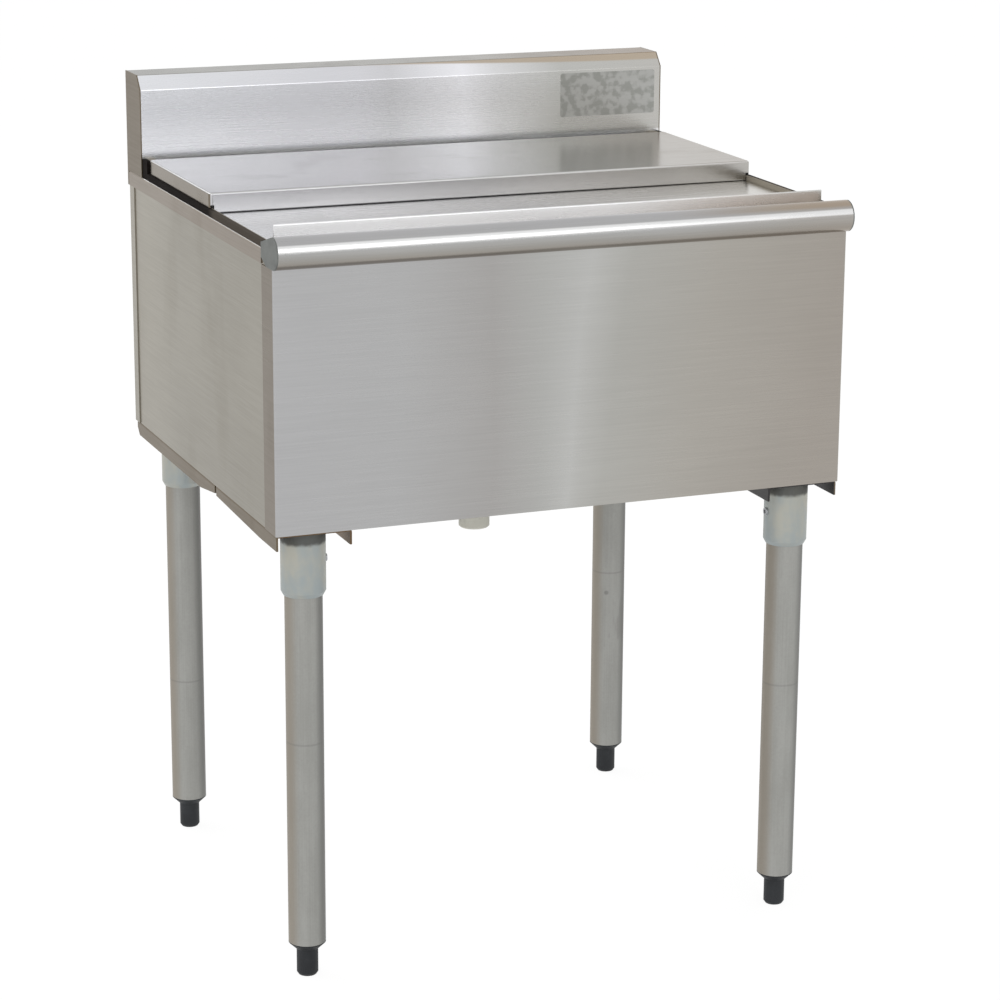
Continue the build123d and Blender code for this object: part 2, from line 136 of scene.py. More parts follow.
# %% Graphs
class Graph:
    """A node tree that is written as Python."""

    def __init__(self, tree):
        self.tree = tree
        tree.nodes.clear()

    def feed(self, socket, value):
        """Links a Value to a socket, or writes a constant on it."""
        if isinstance(value, Value):
            self.tree.links.new(value.socket, socket)
        else:
            socket.default_value = value

    def node(self, kind, settings=None, inputs=None, output=0):
        """Adds a node, sets it up, feeds it and returns one of its outputs."""
        made = self.tree.nodes.new(kind)
        for name, value in (settings or {}).items():
            if name == "stops":
                ramp = made.color_ramp.elements
                while len(ramp) < len(value):
                    ramp.new(1.0)
                for element, (place, colour) in zip(ramp, value):
                    element.position, element.color = place, (*colour, 1.0)
            else:
                setattr(made, name, value)
        for name, value in (inputs or {}).items():
            self.feed(made.inputs[name], value)
        return Value(self, made.outputs[output]) if made.outputs else made

    def math(self, operation, *values):
        return self.node("ShaderNodeMath", {"operation": operation}, dict(enumerate(values)))

    def combined(self, x, y, z):
        return self.node("ShaderNodeCombineXYZ", {}, {0: x, 1: y, 2: z})

    def parts(self, vector):
        """The three numbers of a vector."""
        split = self.node("ShaderNodeSeparateXYZ", {}, {0: vector})
        return [Value(self, output) for output in split.socket.node.outputs]


print("graphs ready")

# %% [markdown]
# ## Places on the piece
# A pattern needs to know where it is. Object coordinates are in metres here, so a scale of 1000
# gives one grain per millimetre. Stretching them differently along each axis turns round noise into
# the long scratches of brushed steel. A few helpers draw most masks: smooth() steps softly from one
# limit to the other, near() does so at an edge of the piece, with its limits in millimetres from
# that edge, and ramp() runs through a few tones that are given at places in millimetres.

# %% Finish helper
class Finish(Graph):
    """One material, with the shader that the finish functions fill in."""

    def __init__(self, name, **constants):
        self.material = bpy.data.materials.new(name)
        self.material.use_nodes = True
        super().__init__(self.material.node_tree)
        self.shader = self.tree.nodes.new("ShaderNodeBsdfPrincipled")
        output = self.tree.nodes.new("ShaderNodeOutputMaterial")
        self.tree.links.new(self.shader.outputs[0], output.inputs["Surface"])
        for socket, value in constants.items():
            self.shader.inputs[socket.replace("_", " ")].default_value = value
        self.place = self.node("ShaderNodeTexCoord", output=3)
        self.x, self.y, self.z = self.parts(self.place)

    def stretched(self, x, y, z):
        return self.node("ShaderNodeVectorMath", {"operation": "MULTIPLY"},
                         {0: self.place, 1: (x, y, z)})

    def noise(self, place, scale=1.0, detail=2.0, roughness=0.5):
        return self.node("ShaderNodeTexNoise", {}, {"Vector": place, "Scale": scale,
                                                    "Detail": detail, "Roughness": roughness})

    def smooth(self, value, low, high):
        """0 below low, 1 above high, and a soft step between."""
        return self.node("ShaderNodeMapRange", {"interpolation_type": "SMOOTHSTEP"},
                         {"Value": value, "From Min": low, "From Max": high})

    def near(self, value, edge, start, end):
        """A soft step by an edge, between two distances from it in millimetres."""
        return self.smooth(value, edge + start * MM, edge + end * MM)

    def stripe(self, value, middle, half, soft):
        """1 within half of the middle, and 0 from there on after a soft edge."""
        return 1.0 - self.smooth((value - middle).math("ABSOLUTE"), half, half + soft)

    def ramp(self, value, tones):
        """Colour at a place in metres, from tones given at places in millimetres."""
        low, high = tones[0][0], tones[-1][0]
        stops = [((place - low) / (high - low), colour) for place, colour in tones]
        return self.node("ShaderNodeValToRGB", {"stops": stops},
                         {0: (value / MM - low) / (high - low)})

    def mix(self, factor, first, second):
        """Blends two colours, each a Value or three numbers."""
        first, second = (c if isinstance(c, Value) else (*c, 1.0) for c in (first, second))
        return self.node("ShaderNodeMix", {"data_type": "RGBA"},
                         {0: factor, 6: first, 7: second}, 2)

    def scaled(self, colour, factor):
        return self.node("ShaderNodeVectorMath", {"operation": "SCALE"},
                         {0: colour, "Scale": factor})

    def bump(self, height, strength, distance):
        return self.node("ShaderNodeBump", {}, {"Height": height, "Strength": strength,
                                                "Distance": distance})

    def wear(self, colour, roughness, normal):
        """Feeds the shader and returns the finished material."""
        for socket, value in (("Base Color", colour), ("Roughness", roughness), ("Normal", normal)):
            self.feed(self.shader.inputs[socket], value)
        return self.material


print("finish helper ready")

# %% [markdown]
# ## Brushed stainless sheet
# Stainless sheet is polished with a belt, which leaves scratches that run one way for a few
# centimetres each. They scatter light across themselves, so the sheet looks streaky and satin. The
# scratches go round a bend with the sheet: on the walls they run level, so the two level axes are
# added into one length, and on the top they run from end to end. Each sheet also gets a few tones
# from its left end to its right, brighter and duller bands that are painted reflections of the room
# and lamps. On the right half the bands may lean. An extra function may tint folds and returns, or
# set every tone by itself. Metal mirrors more at a low angle, so the level sheets have darker tones
# of their own than they seem to have.

# %% Brushed sheet
EDGE = solid_box[1][0] / MM
ALONG, ACROSS = 9.0, 900.0
LEAN_TOP, LEAN_STARTS = 0.75, (-0.04, 0.02)


def brushed(name, tones, run="level", grain=0.08, roughness=0.3, extra=None, lean=0.0):
    """Satin sheet with scratches that run level round the walls, or along x on the top."""
    finish = Finish(name, Metallic=1.0)
    x, y, z = finish.x, finish.y, finish.z
    if run == "level":
        fine = finish.combined((x + y) * ALONG, (x - y) * ALONG, z * ACROSS)
    else:
        fine = finish.stretched(ALONG, ACROSS, ACROSS)
    scratches = finish.noise(fine, detail=3.0, roughness=0.65)
    clouds = finish.noise(finish.place, scale=5.0, detail=3.0)
    wiped = finish.smooth(finish.noise(finish.stretched(14.0, 14.0, 6.0)), 0.55, 0.75)
    drift = finish.smooth(x, *LEAN_STARTS) * (LEAN_TOP - z) * lean
    # The tones across x are painted reflections and painted light, not the steel's own colour.
    colour = finish.ramp(x + drift + (clouds - 0.5) * 0.03, tones) if tones else None
    if extra:
        colour = extra(finish, colour)
    shade = 1.0 - finish.smooth(scratches * 0.6 + clouds * 0.4, 0.3, 0.7) * grain
    rough = scratches * 0.14 + clouds * 0.08 + wiped * 0.05 + (roughness - 0.12)
    return finish.wear(finish.scaled(colour, shade), rough, finish.bump(scratches, 0.07, 0.0003))


print("brushed sheet ready, half width", round(EDGE, 1))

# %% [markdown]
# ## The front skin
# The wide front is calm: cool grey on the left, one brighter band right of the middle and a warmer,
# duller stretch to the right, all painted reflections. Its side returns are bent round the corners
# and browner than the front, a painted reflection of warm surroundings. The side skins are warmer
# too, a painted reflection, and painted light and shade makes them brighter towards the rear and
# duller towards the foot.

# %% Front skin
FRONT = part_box("front_panel")[0][1]
RETURN_REFLECTION_TONE = (0.16, 0.13, 0.095)
REAR_STRETCH, FOOT_STRETCH = (0.05, 0.24), (0.5, 0.62)


def front_returns(finish, colour):
    """Painted reflection: browner skin on the returns beside the corners."""
    past_corner = finish.near(finish.y, FRONT, 1.2, 2.2)
    return finish.mix(past_corner, colour, RETURN_REFLECTION_TONE)


def side_fade(finish, colour):
    """Painted light and shade: brighter towards the rear, duller towards the foot."""
    rear = finish.smooth(finish.y, *REAR_STRETCH) * 0.15
    foot = (1.0 - finish.smooth(finish.z, *FOOT_STRETCH)) * 0.07
    return finish.scaled(colour, 1.0 + rear - foot)


# Painted reflections: the front's tones across x, with a brighter band right of the middle.
front_sheet = brushed("front_sheet", [
    (-EDGE, (0.46, 0.46, 0.465)), (-180, (0.44, 0.44, 0.44)), (-80, (0.395, 0.385, 0.375)),
    (-25, (0.445, 0.445, 0.43)), (30, (0.505, 0.505, 0.49)), (75, (0.435, 0.43, 0.405)),
    (170, (0.415, 0.395, 0.36)), (EDGE, (0.37, 0.34, 0.305))], extra=front_returns, lean=0.16)
# Painted reflection: the side skins' warm tan.
side_sheet = brushed("side_sheet", [(-EDGE, (0.315, 0.295, 0.25)), (EDGE, (0.32, 0.3, 0.26))],
                     roughness=0.38, extra=side_fade)
print("front", round(FRONT, 4), [m.name for m in (front_sheet, side_sheet)])

# %% [markdown]
# ## The splash
# The upright face is the brightest sheet on the left and fades to a warm, dull grey at its right
# end, a painted reflection. The angled facet above it is tan, and the flat top is seen at a low
# angle and turns pinker towards the right; both tans are painted reflections. Below the rear
# cover's top the sheet is painted near white, painted light in the shade there. All of them sit at
# known heights, so masks on z find them. The back stands against a wall and keeps the mill's dull
# skin.

# %% Splash
SPLASH_LOW, SPLASH_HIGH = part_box("backsplash")
SPLASH_TOP = SPLASH_HIGH[2]
REAR_LOW, REAR_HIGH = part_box("rear_cover")
HIDDEN_PAINTED_LIGHT, FACET_REFLECTION_TONE, BACK_TONE = (0.88, 0.88, 0.88), (0.455, 0.38, 0.295), (0.36, 0.34, 0.3)
FACET_REACH, REACH_STRETCH = 7 * MM, (-0.1, 0.28)


def splash_folds(finish, colour):
    """Painted light behind the covers, painted reflection on facet and top, and a dull back."""
    hidden = 1.0 - finish.near(finish.z, REAR_HIGH[2], -1, 2)
    face = 1.0 - finish.near(finish.y, SPLASH_LOW[1], 2, 4)
    # Painted light: near white on the face below the rear cover's top.
    colour = finish.mix(hidden * face, colour, HIDDEN_PAINTED_LIGHT)
    reach = finish.smooth(finish.x, *REACH_STRETCH) * FACET_REACH
    facet = finish.near(finish.z + reach, SPLASH_TOP, -1, 1)
    # Painted reflection: tan on the facet.
    colour = finish.mix(facet * 0.9, colour, FACET_REFLECTION_TONE)
    flat = finish.near(finish.z, SPLASH_TOP, -0.5, -0.2)
    # Painted reflection: tan and pink on the flat top.
    tan = finish.ramp(finish.x, [(-EDGE, (0.2, 0.2, 0.185)), (60, (0.25, 0.24, 0.215)),
                                 (EDGE, (0.17, 0.105, 0.045))])
    back = finish.near(finish.y, SPLASH_HIGH[1], -1, -0.5)
    return finish.mix(back, finish.mix(flat, colour, tan), BACK_TONE)


# Painted reflections: the face's tones across x.
splash_sheet = brushed("splash_sheet", [
    (-EDGE, (0.74, 0.75, 0.78)), (-54, (0.66, 0.66, 0.69)), (-20, (0.62, 0.62, 0.64)),
    (65, (0.84, 0.84, 0.875)), (105, (0.69, 0.69, 0.7)), (144, (0.6, 0.6, 0.595)),
    (184, (0.5, 0.5, 0.48)), (EDGE, (0.5, 0.49, 0.465))], grain=0.05, roughness=0.28,
    extra=splash_folds)
print("splash top", round(SPLASH_TOP, 4))

# %% [markdown]
# ## The covers
# Both covers lie almost level and are seen at a low angle, so they mirror the splash and the room
# more than they show their own tones; their tones are painted reflections. The rear cover's flanges
# are folded down: each fold gets a painted highlight along its edge, the side flanges a dull brown
# painted reflection, and the rear one is painted near white as painted light. The front cover's
# upright lip faces the viewer and gets a brighter painted highlight.

# %% Covers
LIP_LOW, LIP_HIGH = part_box("front_cover")
SIDE_FLANGE_REFLECTION = (0.187, 0.156, 0.117)


def rear_cover_folds(finish, colour):
    """Flanges in painted reflection and painted light, and a painted highlight along the folds."""
    below = 1.0 - finish.near(finish.z, REAR_HIGH[2], -1.6, -0.9)
    # Painted reflections: the front flange's tones across x.
    flange = finish.ramp(finish.x, [(-EDGE, (0.565, 0.565, 0.58)), (EDGE, (0.465, 0.45, 0.425))])
    side = finish.near(finish.x.math("ABSOLUTE"), REAR_HIGH[0], -1.8, -0.8)
    # Painted reflection: dull brown on the side flanges.
    flange = finish.mix(side, flange, SIDE_FLANGE_REFLECTION)
    back = finish.near(finish.y, REAR_HIGH[1], -1.8, -0.8)
    # Painted light: near white on the rear flange.
    flange = finish.mix(back, flange, HIDDEN_PAINTED_LIGHT)
    # Painted highlight: a light line along each fold.
    fold = finish.stripe(finish.z, REAR_HIGH[2] - 0.7 * MM, 0.2 * MM, 0.5 * MM)
    colour = finish.mix(below, colour, flange)
    return finish.mix(fold * 0.6, colour, (0.8, 0.8, 0.8))


def lip_front(finish, colour):
    """A painted highlight on the upright lip."""
    upright = finish.near(finish.z, LIP_LOW[2], 1.4, 3.0)
    # Painted highlight: the lip's bright tones across x.
    lip = finish.ramp(finish.x, [(-EDGE, (0.86, 0.86, 0.87)), (60, (0.84, 0.84, 0.85)),
                                 (200, (0.68, 0.66, 0.64)), (EDGE, (0.53, 0.53, 0.51))])
    return finish.mix(upright, colour, lip)


# Painted reflections: the rear cover's tones across x.
rear_cover_sheet = brushed("rear_cover_sheet", [
    (-EDGE, (0.205, 0.2, 0.205)), (-100, (0.25, 0.245, 0.245)), (40, (0.315, 0.315, 0.305)),
    (160, (0.36, 0.35, 0.325)), (215, (0.345, 0.32, 0.285)), (EDGE, (0.31, 0.275, 0.235))],
    run="along", grain=0.05, roughness=0.22, extra=rear_cover_folds)
# Painted reflections: the front cover's tones across x.
front_cover_sheet = brushed("front_cover_sheet", [
    (-EDGE, (0.48, 0.48, 0.49)), (0, (0.385, 0.385, 0.39)), (EDGE, (0.7, 0.68, 0.64))],
    run="along", grain=0.05, roughness=0.27, extra=lip_front)
print("covers", round(REAR_HIGH[2], 4), round(LIP_HIGH[2], 4))

# %% [markdown]
# ## Rim, ends, gussets and liner
# The rim's skirts, the plates that close the splash and the channels under the box are small
# pieces that were bent or cut last. Their duller, browner tones are painted reflections of warm
# surroundings, on the gussets also painted shade, and the channels are painted brown and black
# inside as painted shade. The liner is drawn and polished for cleaning, so it is bright. The plate
# on the splash is a foil that was rubbed on by hand.

# %% Small sheets
RIM_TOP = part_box("top_rim")[1][2]
CHANNEL_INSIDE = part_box("front_right_gusset")[1][0] - 1.8 * MM
RIM_TONE, CRINKLE_TONE = (0.44, 0.435, 0.425), (0.27, 0.275, 0.255)
CHANNEL_SHADE_RIGHT, CHANNEL_SHADE_LEFT = (0.15, 0.1, 0.058), (0.05, 0.047, 0.048)


def rim_top(finish, colour):
    """Painted reflection on the flat rim above its tan skirts, painted light behind the covers."""
    flat = finish.near(finish.z, RIM_TOP, -0.8, -0.3)
    behind = finish.near(finish.y, REAR_HIGH[1], -10, 0)
    # Painted reflection on the flat rim, painted light behind the covers.
    return finish.mix(flat, colour, finish.mix(behind, RIM_TONE, HIDDEN_PAINTED_LIGHT))


def dark_inside(finish, colour):
    """Painted shade: brown and black inside the channels."""
    inside = 1.0 - finish.near(finish.x.math("ABSOLUTE"), CHANNEL_INSIDE, 0, 0.5)
    # Painted shade inside the channels.
    return finish.mix(inside, colour, finish.mix(finish.x > 0.0, CHANNEL_SHADE_RIGHT, CHANNEL_SHADE_LEFT))


def crinkled(finish, colour):
    """Small light and dark patches of a foil that was rubbed on by hand."""
    patches = finish.noise(finish.place, scale=125.0)
    return finish.mix(finish.smooth(patches, 0.4, 0.62) * 0.75, colour, CRINKLE_TONE)


# Painted reflection: the rim skirts' tan.
rim_sheet = brushed("rim_sheet", [(-EDGE, (0.262, 0.222, 0.18)), (EDGE, (0.28, 0.25, 0.21))],
                    roughness=0.36, extra=rim_top)
# Painted reflection and painted shade: the brown of the splash's end plates and the gussets.
edge_sheet = brushed("edge_sheet", [(-EDGE, (0.16, 0.127, 0.085)), (EDGE, (0.165, 0.135, 0.1))],
                     roughness=0.38, extra=dark_inside)
liner_sheet = brushed("liner_sheet", [(-EDGE, (0.78, 0.79, 0.8)), (EDGE, (0.74, 0.75, 0.76))],
                      run="along", grain=0.15, roughness=0.32)
plate_foil = brushed("plate_foil", [(-EDGE, (0.4, 0.4, 0.385)), (EDGE, (0.4, 0.4, 0.385))],
                     grain=0.04, roughness=0.42, extra=crinkled)
print("small sheets", [m.name for m in (rim_sheet, edge_sheet, liner_sheet, plate_foil)])

# %% [markdown]
# ## The rolled edge's finish
# A narrow painted highlight runs along the nose of the rolled edge, on top of the front lamp's real
# one. Below that line the sheet turns under and is painted brown and dull, painted shade and
# reflection, and behind the crown it is painted bright, a painted reflection of the cover's lip.
# Height and depth tell where on the curl a point lies.

# %% Rolled edge finish
ROLL_LOW, ROLL_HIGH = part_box("rolled_front_edge")
CROWN, HIGHLIGHT_LINE = (0.7645, 0.768), 0.7615
WARM_STRETCH, TAN_STRETCH = (0.08, 0.3), (0.08, 0.28)
WARM_TONE, TAN_TONE, PAINTED_HIGHLIGHT_TONE = (0.36, 0.31, 0.26), (0.36, 0.29, 0.22), (0.8, 0.8, 0.8)


def curl(finish, _):
    """Painted shade and reflection round the curl, warmer to the right, and a painted highlight."""
    # Painted shade and reflection: tones round the curl by height.
    round_tones = finish.ramp(finish.z, [
        (739, (0.42, 0.37, 0.33)), (743, (0.32, 0.29, 0.255)), (748, (0.35, 0.335, 0.31)),
        (753, (0.4, 0.395, 0.38)), (757, (0.43, 0.43, 0.425)), (771, (0.41, 0.41, 0.415))])
    warm = finish.smooth(finish.x, *WARM_STRETCH) * 0.35
    # Painted reflection: warmer towards the right.
    round_tones = finish.mix(warm, round_tones, WARM_TONE)
    tan = finish.smooth(finish.x, *TAN_STRETCH) * finish.smooth(finish.z, *CROWN)
    # Painted reflection: tan on the crown towards the right.
    round_tones = finish.mix(tan * 0.85, round_tones, TAN_TONE)
    behind = finish.near(finish.y, FRONT, 1, 5)
    lip_reflection = finish.ramp(finish.x, [(-EDGE, (0.82, 0.82, 0.82)), (100, (0.78, 0.76, 0.74)),
                                    (EDGE, (0.6, 0.5, 0.43))])
    # Painted reflection of the cover's lip behind the crown.
    round_tones = finish.mix(behind, round_tones, lip_reflection)
    # Painted highlight on the nose, on top of the front lamp's real one.
    painted_highlight = finish.stripe(finish.z, HIGHLIGHT_LINE, 1.8 * MM, 1.6 * MM)
    nose = 1.0 - finish.near(finish.y, FRONT, -12, -8)
    return finish.mix(painted_highlight * nose * 0.9, round_tones, PAINTED_HIGHLIGHT_TONE)


roll_finish = brushed("roll_finish", None, run="along", roughness=0.25, extra=curl)
print("curl from", round(ROLL_LOW[2], 4), "to", round(ROLL_HIGH[2], 4))

# %% [markdown]
# ## Galvanised tube and sockets
# The legs are welded tube with a dull zinc skin, grey and slightly green, with faint lines drawn
# along it. A soft band of painted shade runs along one side of each tube, with a tan painted
# reflection opposite, a faint ring marks each tube, and one leg has a small dark spot of painted
# shade for a dent. The sockets are dipped, and their zinc runs in soft clouds, some bluer and some
# warmer. Their tops carry a painted shadow from the box and channels above them.

# %% Drawn zinc
LEG_BOX = {corner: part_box(f"{corner}_leg_tube") for corner in CORNERS}
FRONT_LEG, REAR_LEG = (((Vector(low) + Vector(high)) / 2).xy
                       for low, high in (LEG_BOX["front_right"], LEG_BOX["rear_right"]))
SHADE_AND_RING_TONE, TUBE_TAN_REFLECTION, STAIN_TONE = (0.2, 0.2, 0.19), (0.3, 0.25, 0.19), (0.27, 0.265, 0.25)
RING_HEIGHT, RING_LOWER = 0.252, 0.074
DENT = (REAR_LEG[0] - 9.5 * MM, REAR_LEG[1] - 16.5 * MM, 0.228)


def leg_marks(finish, colour):
    """Painted shade in a band, a tan painted reflection, a faint ring and one dent as painted
    shade.

    beside and behind tell how far to the right of its tube's middle, or behind it, a point lies.
    """
    right, rear = finish.x > 0.0, finish.y > 0.0
    beside = finish.x - (right * 2.0 - 1.0) * (FRONT_LEG[0] - rear * (FRONT_LEG[0] - REAR_LEG[0]))
    behind = finish.y - FRONT_LEG[1] - rear * (REAR_LEG[1] - FRONT_LEG[1])
    side_shade = finish.near(beside, 0.0, 4, 14) * (1.0 - finish.near(behind, 0.0, -12, 0))
    # Painted shade: a duller band along one side of each tube.
    colour = finish.mix(side_shade * 0.85, colour, SHADE_AND_RING_TONE)
    # Painted reflection: a tan band opposite.
    colour = finish.mix(finish.near(beside, 0.0, -11, -19) * 0.6, colour, TUBE_TAN_REFLECTION)
    ring = finish.stripe(finish.z + rear * (1.0 - right) * RING_LOWER, RING_HEIGHT, 0.5 * MM, MM)
    colour = finish.mix(ring * 0.3, colour, SHADE_AND_RING_TONE)
    away = finish.node("ShaderNodeVectorMath", {"operation": "DISTANCE"},
                       {0: finish.place, 1: DENT}, "Value")
    # Painted shade: a small dark spot for a dent.
    return finish.mix((1.0 - finish.near(away, 0.0, 1.5, 3.5)) * 0.6, colour, SHADE_AND_RING_TONE)


def drawn_zinc(name, light, dark, extra=None):
    """Dull zinc on tube, with lines and stains along it."""
    finish = Finish(name, Metallic=0.75)
    lines = finish.noise(finish.stretched(700.0, 700.0, 8.0))
    stains = finish.noise(finish.stretched(30.0, 30.0, 9.0), detail=4.0, roughness=0.6)
    freckles = finish.noise(finish.place, scale=420.0)
    colour = finish.mix(finish.smooth(stains * 0.6 + lines * 0.25 + freckles * 0.15, 0.35, 0.65),
                        dark, light)
    colour = finish.mix(finish.smooth(stains, 0.62, 0.7) * 0.5, colour, STAIN_TONE)
    if extra:
        colour = extra(finish, colour)
    rough = 0.42 + lines * 0.1 + stains * 0.12
    return finish.wear(colour, rough, finish.bump(lines + freckles * 0.5, 0.15, 0.0003))


tube_zinc = drawn_zinc("tube_zinc", (0.41, 0.41, 0.39), (0.34, 0.34, 0.32), leg_marks)
stud_zinc = drawn_zinc("stud_zinc", (0.55, 0.56, 0.58), (0.42, 0.43, 0.45))
print("drawn zinc", [m.name for m in (tube_zinc, stud_zinc)])

# %% Dipped zinc
SOCKET_BOX = {corner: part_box(f"{corner}_leg_socket") for corner in CORNERS}
SOCKET_TOP = SOCKET_BOX["front_left"][1][2]


def dipped_zinc(name, cool, warm, weld_shadow_tone):
    """Thicker zinc in soft clouds, with a painted shadow near the weld at the top."""
    finish = Finish(name, Metallic=0.7)
    clouds = finish.noise(finish.stretched(32.0, 32.0, 14.0), detail=3.0)
    bloom = finish.noise(finish.place, scale=160.0, detail=3.0)
    colour = finish.mix(finish.smooth(clouds * 0.85 + bloom * 0.15, 0.36, 0.64), cool, warm)
    # Painted shadow: darker near the top, under the box and channels.
    weld_shadow = finish.near(finish.z + (bloom - 0.5) * (4 * MM), SOCKET_TOP, -17, -12.5)
    colour = finish.mix(weld_shadow * 0.85, colour, weld_shadow_tone)
    rough = 0.36 + bloom * 0.12 + weld_shadow * 0.15
    return finish.wear(colour, rough, finish.bump(bloom, 0.15, 0.0005))


socket_zinc = dipped_zinc("socket_zinc", (0.36, 0.4, 0.405), (0.46, 0.455, 0.4),
                          (0.085, 0.085, 0.078))
weld_zinc = dipped_zinc("weld_zinc", (0.16, 0.155, 0.15), (0.22, 0.21, 0.19),
                        (0.12, 0.115, 0.105))
print("sockets end at", round(SOCKET_TOP, 4))

# %% [markdown]
# ## Mouldings
# The feet, the caps on the rolled edge, the black strips and the drain pipe are moulded or drawn
# plastic. Each has a fine matt grain from the mould, with slight clouds of wear and dust. The
# strips are dark grey in front of the rear cover and black under it, a painted shadow, and rubbed
# grey along the sliding cover.

# %% Plastic and foam
STRIP_INSIDE = LIP_HIGH[0] + 1.5 * MM
OUT_OF_SHADOW_TONE, SLID_TONE = (0.088, 0.075, 0.062), (0.32, 0.29, 0.24)


def moulded(name, light, dark, grain=900.0, roughness=0.5, gloss=0.5, dust=(0.3, 0.3, 0.29),
            extra=None):
    """Matt plastic with a mould grain and a little dust."""
    finish = Finish(name, Metallic=0.0, Specular_IOR_Level=gloss)
    fine = finish.noise(finish.place, scale=grain)
    clouds = finish.noise(finish.place, scale=38.0, detail=4.0, roughness=0.6)
    colour = finish.mix(finish.smooth(clouds, 0.35, 0.65), dark, light)
    colour = finish.mix(finish.smooth(clouds * 0.7 + fine * 0.3, 0.58, 0.72) * 0.25, colour, dust)
    if extra:
        colour = extra(finish, colour)
    rough = roughness + fine * 0.12 + clouds * 0.1
    return finish.wear(colour, rough, finish.bump(fine, 0.25, 0.0003))


def shaded_and_rubbed_strip(finish, colour):
    """Painted shadow under the rear cover, dark grey in front, and grey where the cover slides."""
    # Painted shadow: the near-black base stays under the rear cover, dark grey in front of it.
    out_of_shadow = 1.0 - finish.near(finish.y, REAR_LOW[1], -25, 0)
    colour = finish.mix(out_of_shadow, colour, OUT_OF_SHADOW_TONE)
    inner = 1.0 - finish.near(finish.x.math("ABSOLUTE"), STRIP_INSIDE, 0.2, 0.8)
    return finish.mix(inner, colour, SLID_TONE)


foot_plastic = moulded("foot_plastic", (0.026, 0.029, 0.033), (0.015, 0.017, 0.02),
                       dust=(0.07, 0.077, 0.083), gloss=0.4)
cap_plastic = moulded("cap_plastic", (0.18, 0.19, 0.18), (0.13, 0.135, 0.13))
strip_rubber = moulded("strip_rubber", (0.013, 0.01, 0.009), (0.008, 0.006, 0.005), roughness=0.75,
                       gloss=0.07, dust=(0.03, 0.026, 0.022), extra=shaded_and_rubbed_strip)
gasket_rubber = moulded("gasket_rubber", (0.03, 0.03, 0.03), (0.02, 0.02, 0.02), roughness=0.7)
pipe_plastic = moulded("pipe_plastic", (0.97, 0.96, 0.86), (0.9, 0.89, 0.8),
                       dust=(0.5, 0.49, 0.45))
foam_cells = moulded("foam_cells", (0.8, 0.7, 0.42), (0.7, 0.6, 0.33), grain=1500.0, roughness=0.8,
                     dust=(0.6, 0.5, 0.3))
print("mouldings", [m.name for m in (foot_plastic, cap_plastic, strip_rubber, gasket_rubber,
                                     pipe_plastic, foam_cells)])

# %% [markdown]
# ## Putting the finishes on
# The solids already have the right shape, so most of them only change their material. One table
# says which piece wears what, and the parts of a name that repeat, such as the sides and the rows,
# are filled in by loops.

# %% Dress the solids
FINISHES = {
    "front_panel": front_sheet, "back_panel": side_sheet, "bottom_pan": side_sheet,
    "top_rim": rim_sheet, "backsplash": splash_sheet, "bin_liner": liner_sheet,
    "foam_jacket": foam_cells, "drain_pipe": pipe_plastic, "drain_gasket": gasket_rubber,
    "drain_locknut": pipe_plastic, "drain_strainer": liner_sheet, "front_cover": front_cover_sheet,
    "rear_cover": rear_cover_sheet, "rolled_front_edge": roll_finish,
    "socket_set_screws": stud_zinc,
}
for side in SIDES:
    FINISHES[f"{side}_side_panel"] = side_sheet
    FINISHES[f"{side}_roll_end_cap"] = cap_plastic
    FINISHES[f"{side}_splash_end_cap"] = edge_sheet
    FINISHES[f"{side}_cover_strip"] = strip_rubber
for corner in CORNERS:
    FINISHES[f"{corner}_gusset"] = edge_sheet
    FINISHES[f"{corner}_leg_socket"] = socket_zinc
    FINISHES[f"{corner}_leg_tube"] = tube_zinc
    FINISHES[f"{corner}_foot_insert"] = foot_plastic
    FINISHES[f"{corner}_foot"] = foot_plastic
    FINISHES[f"{corner}_foot_stud"] = stud_zinc

for name, node in nodes.items():
    node.data.materials.clear()
    node.data.materials.append(FINISHES[name])
print("dressed", len(nodes), "solids with", len(set(FINISHES.values())), "finishes")

# %% [markdown]
# ## Shapes that follow a rule
# Geometry Nodes suit a shape that a rule can state: a strip that is bent along an arc, a thread, a
# ring of weld ripples. Each is a flat grid at first, whose two directions stand for the two numbers
# of the rule, and Set Position puts every point where the rule says. The tree's inputs are named
# for real sizes. Afterwards the result becomes a plain mesh, so nothing depends on the modifier.

# %% Shape helper
CLOSE_POINTS = MM / 1000


class Shape(Graph):
    """A geometry tree with named sizes, which becomes a plain piece."""

    def __init__(self, name, **sizes):
        super().__init__(bpy.data.node_groups.new(name, "GeometryNodeTree"))
        self.name, self.sizes, self.keys = name, sizes, {}
        face = self.tree.interface
        face.new_socket("Geometry", in_out="INPUT", socket_type="NodeSocketGeometry")
        face.new_socket("Geometry", in_out="OUTPUT", socket_type="NodeSocketGeometry")
        for size, value in sizes.items():
            kind = "NodeSocketInt" if isinstance(value, int) else "NodeSocketFloat"
            self.keys[size] = face.new_socket(size, in_out="INPUT", socket_type=kind).identifier
        self.entry = self.tree.nodes.new("NodeGroupInput")

    def size(self, name):
        return Value(self, self.entry.outputs[name])

    def grid(self, across, along, columns, rows):
        """A flat grid, with its two directions running from 0 to across and to along."""
        mesh = self.node("GeometryNodeMeshGrid", {}, {
            "Size X": across, "Size Y": along, "Vertices X": columns, "Vertices Y": rows})
        u, v, _ = self.parts(self.node("GeometryNodeInputPosition"))
        return mesh, u + across / 2.0, v + along / 2.0

    def bent(self, mesh, x, y, z):
        """The grid with its points at new places, and its seams closed."""
        moved = self.node("GeometryNodeSetPosition", {},
                          {"Geometry": mesh, "Position": self.combined(x, y, z)})
        return self.merged(moved)

    def merged(self, geometry):
        return self.node("GeometryNodeMergeByDistance", {},
                         {"Geometry": geometry, "Distance": CLOSE_POINTS})


print("shape helper ready")

